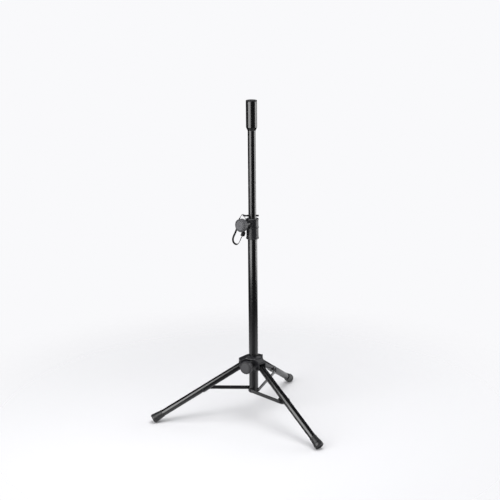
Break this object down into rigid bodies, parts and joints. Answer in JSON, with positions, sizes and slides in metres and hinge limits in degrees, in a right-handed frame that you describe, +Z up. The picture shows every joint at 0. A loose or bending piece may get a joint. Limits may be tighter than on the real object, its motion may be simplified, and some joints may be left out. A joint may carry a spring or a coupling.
{
  "type": "speaker stand",
  "caption": "Black tripod speaker stand: telescoping steel pole with a sleeve adapter, clamp collar and tethered safety pin, on a folding tripod with a sliding leg hub, struts and rubber feet",
  "frame": {"origin": "On the floor under the pole's axis, midway between the three feet", "axes": "+Z up along the pole, +X to the right and +Y to the back as the picture shows it; the tripod is turned 7.4 degrees about Z from legs at 180, 300 and 60 degrees"},
  "size_m": [0.5587, 0.598, 1.064],
  "materials": {
    "powder_coat": "satin black powder coat over steel tube and strip",
    "moulded_nylon": "fine-grained black moulded nylon",
    "knob_cap": "smooth black plastic disc, left plain",
    "zinc_steel": "clear zinc plated steel",
    "black_steel": "steel with an oiled black oxide skin",
    "brass": "turned brass",
    "liner_nylon": "self-lubricating grey nylon",
    "strap_rubber": "flexible black strap, semi-matt",
    "foot_rubber": "matt black moulded rubber"
  },
  "bodies": {
    "column": {"lower_tube": "powder_coat", "tube_plug": "moulded_nylon", "strut_pivots": "black_steel", "collar_body": "moulded_nylon", "collar_bush": "liner_nylon", "collar_insert": "brass", "collar_rivets": "black_steel", "tether_loop": "strap_rubber", "tether_head": "strap_rubber", "tether_lead_left": "strap_rubber", "tether_lead_right": "strap_rubber", "tether_bight": "strap_rubber"},
    "mast": {"mast_tube": "powder_coat", "pole_adapter": "powder_coat", "adapter_cap": "moulded_nylon", "mast_guide": "liner_nylon", "guide_rivets": "zinc_steel"},
    "safety_pin": {"safety_pin": "black_steel"},
    "collar_pad": {"collar_pad": "liner_nylon"},
    "collar_knob": {"collar_knob": "moulded_nylon", "collar_knob_screw": "zinc_steel", "collar_knob_cap": "knob_cap"},
    "leg_hub": {"leg_hub": "moulded_nylon", "hub_insert": "brass", "pivot_bolts": "black_steel", "pivot_nuts": "black_steel"},
    "hub_pad": {"hub_pad": "liner_nylon"},
    "hub_knob": {"hub_knob": "moulded_nylon", "hub_knob_screw": "zinc_steel", "hub_knob_cap": "knob_cap"},
    "leg_left": {"leg_left_tube": "powder_coat", "leg_left_plug": "moulded_nylon", "leg_left_bracket": "powder_coat", "leg_left_rivets": "black_steel", "leg_left_foot": "foot_rubber"},
    "leg_front": {"leg_front_tube": "powder_coat", "leg_front_plug": "moulded_nylon", "leg_front_bracket": "powder_coat", "leg_front_rivets": "black_steel", "leg_front_foot": "foot_rubber"},
    "leg_back": {"leg_back_tube": "powder_coat", "leg_back_plug": "moulded_nylon", "leg_back_bracket": "powder_coat", "leg_back_rivets": "black_steel", "leg_back_foot": "foot_rubber"},
    "strut_left": {"strut_left_bar": "powder_coat", "strut_left_rivet": "black_steel"},
    "strut_front": {"strut_front_bar": "powder_coat", "strut_front_rivet": "black_steel"},
    "strut_back": {"strut_back_bar": "powder_coat", "strut_back_rivet": "black_steel"}
  },
  "joints": [
    {"name": "mast_slide", "type": "slide", "parent": "column", "child": "mast", "axis": [0, 0, 1], "range_m": [-0.005, 0.135], "deforming": ["tether_lead_left", "tether_lead_right", "tether_bight"]},
    {"name": "pin_slide", "type": "slide", "parent": "mast", "child": "safety_pin", "axis": [-1, 0, 0], "range_m": [0, 0.045]},
    {"name": "collar_pad_slide", "type": "slide", "parent": "column", "child": "collar_pad", "axis": [-0.7071, -0.7071, 0], "range_m": [0, 0.0025]},
    {"name": "collar_knob_turn", "type": "hinge", "parent": "collar_pad", "child": "collar_knob", "pos_m": [-0.02121, -0.02121, 0.67], "axis": [-0.7071, -0.7071, 0], "range_deg": [0, 720]},
    {"name": "hub_slide", "type": "slide", "parent": "column", "child": "leg_hub", "axis": [0, 0, 1], "range_m": [0, 0.2075]},
    {"name": "hub_pad_slide", "type": "slide", "parent": "leg_hub", "child": "hub_pad", "axis": [-0.4695, -0.8829, 0], "range_m": [0, 0.0025]},
    {"name": "hub_knob_turn", "type": "hinge", "parent": "hub_pad", "child": "hub_knob", "pos_m": [-0.01408, -0.02649, 0.19127], "axis": [-0.4695, -0.8829, 0], "range_deg": [0, 720]},
    {"name": "leg_left_fold", "type": "hinge", "parent": "leg_hub", "child": "leg_left", "pos_m": [-0.03967, -0.00515, 0.18627], "axis": [0.1288, -0.9917, 0], "range_deg": [0, 59.61]},
    {"name": "leg_front_fold", "type": "hinge", "parent": "leg_hub", "child": "leg_front", "pos_m": [0.0243, -0.03178, 0.18627], "axis": [0.7944, 0.6074, 0], "range_deg": [0, 59.61]},
    {"name": "leg_back_fold", "type": "hinge", "parent": "leg_hub", "child": "leg_back", "pos_m": [0.01537, 0.03693, 0.18627], "axis": [-0.9232, 0.3843, 0], "range_deg": [0, 59.61]},
    {"name": "strut_left_fold", "type": "hinge", "parent": "column", "child": "strut_left", "pos_m": [0, 0, 0.0973], "axis": [-0.1288, 0.9917, 0], "range_deg": [0, 74.41]},
    {"name": "strut_front_fold", "type": "hinge", "parent": "column", "child": "strut_front", "pos_m": [0, 0, 0.0973], "axis": [-0.7944, -0.6074, 0], "range_deg": [0, 74.41]},
    {"name": "strut_back_fold", "type": "hinge", "parent": "column", "child": "strut_back", "pos_m": [0, 0, 0.0973], "axis": [0.9232, -0.3843, 0], "range_deg": [0, 74.41]}
  ],
  "couplings": [
    {"joint": "collar_pad_slide", "follows": "collar_knob_turn", "m_per_rad": 0.00019894},
    {"joint": "hub_pad_slide", "follows": "hub_knob_turn", "m_per_rad": 0.00019894},
    {"joint": "leg_left_fold", "follows": "hub_slide", "rad_per_m": 5.0132},
    {"joint": "leg_front_fold", "follows": "hub_slide", "rad_per_m": 5.0132},
    {"joint": "leg_back_fold", "follows": "hub_slide", "rad_per_m": 5.0132},
    {"joint": "strut_left_fold", "follows": "hub_slide", "rad_per_m": 6.258},
    {"joint": "strut_front_fold", "follows": "hub_slide", "rad_per_m": 6.258},
    {"joint": "strut_back_fold", "follows": "hub_slide", "rad_per_m": 6.258}
  ]
}
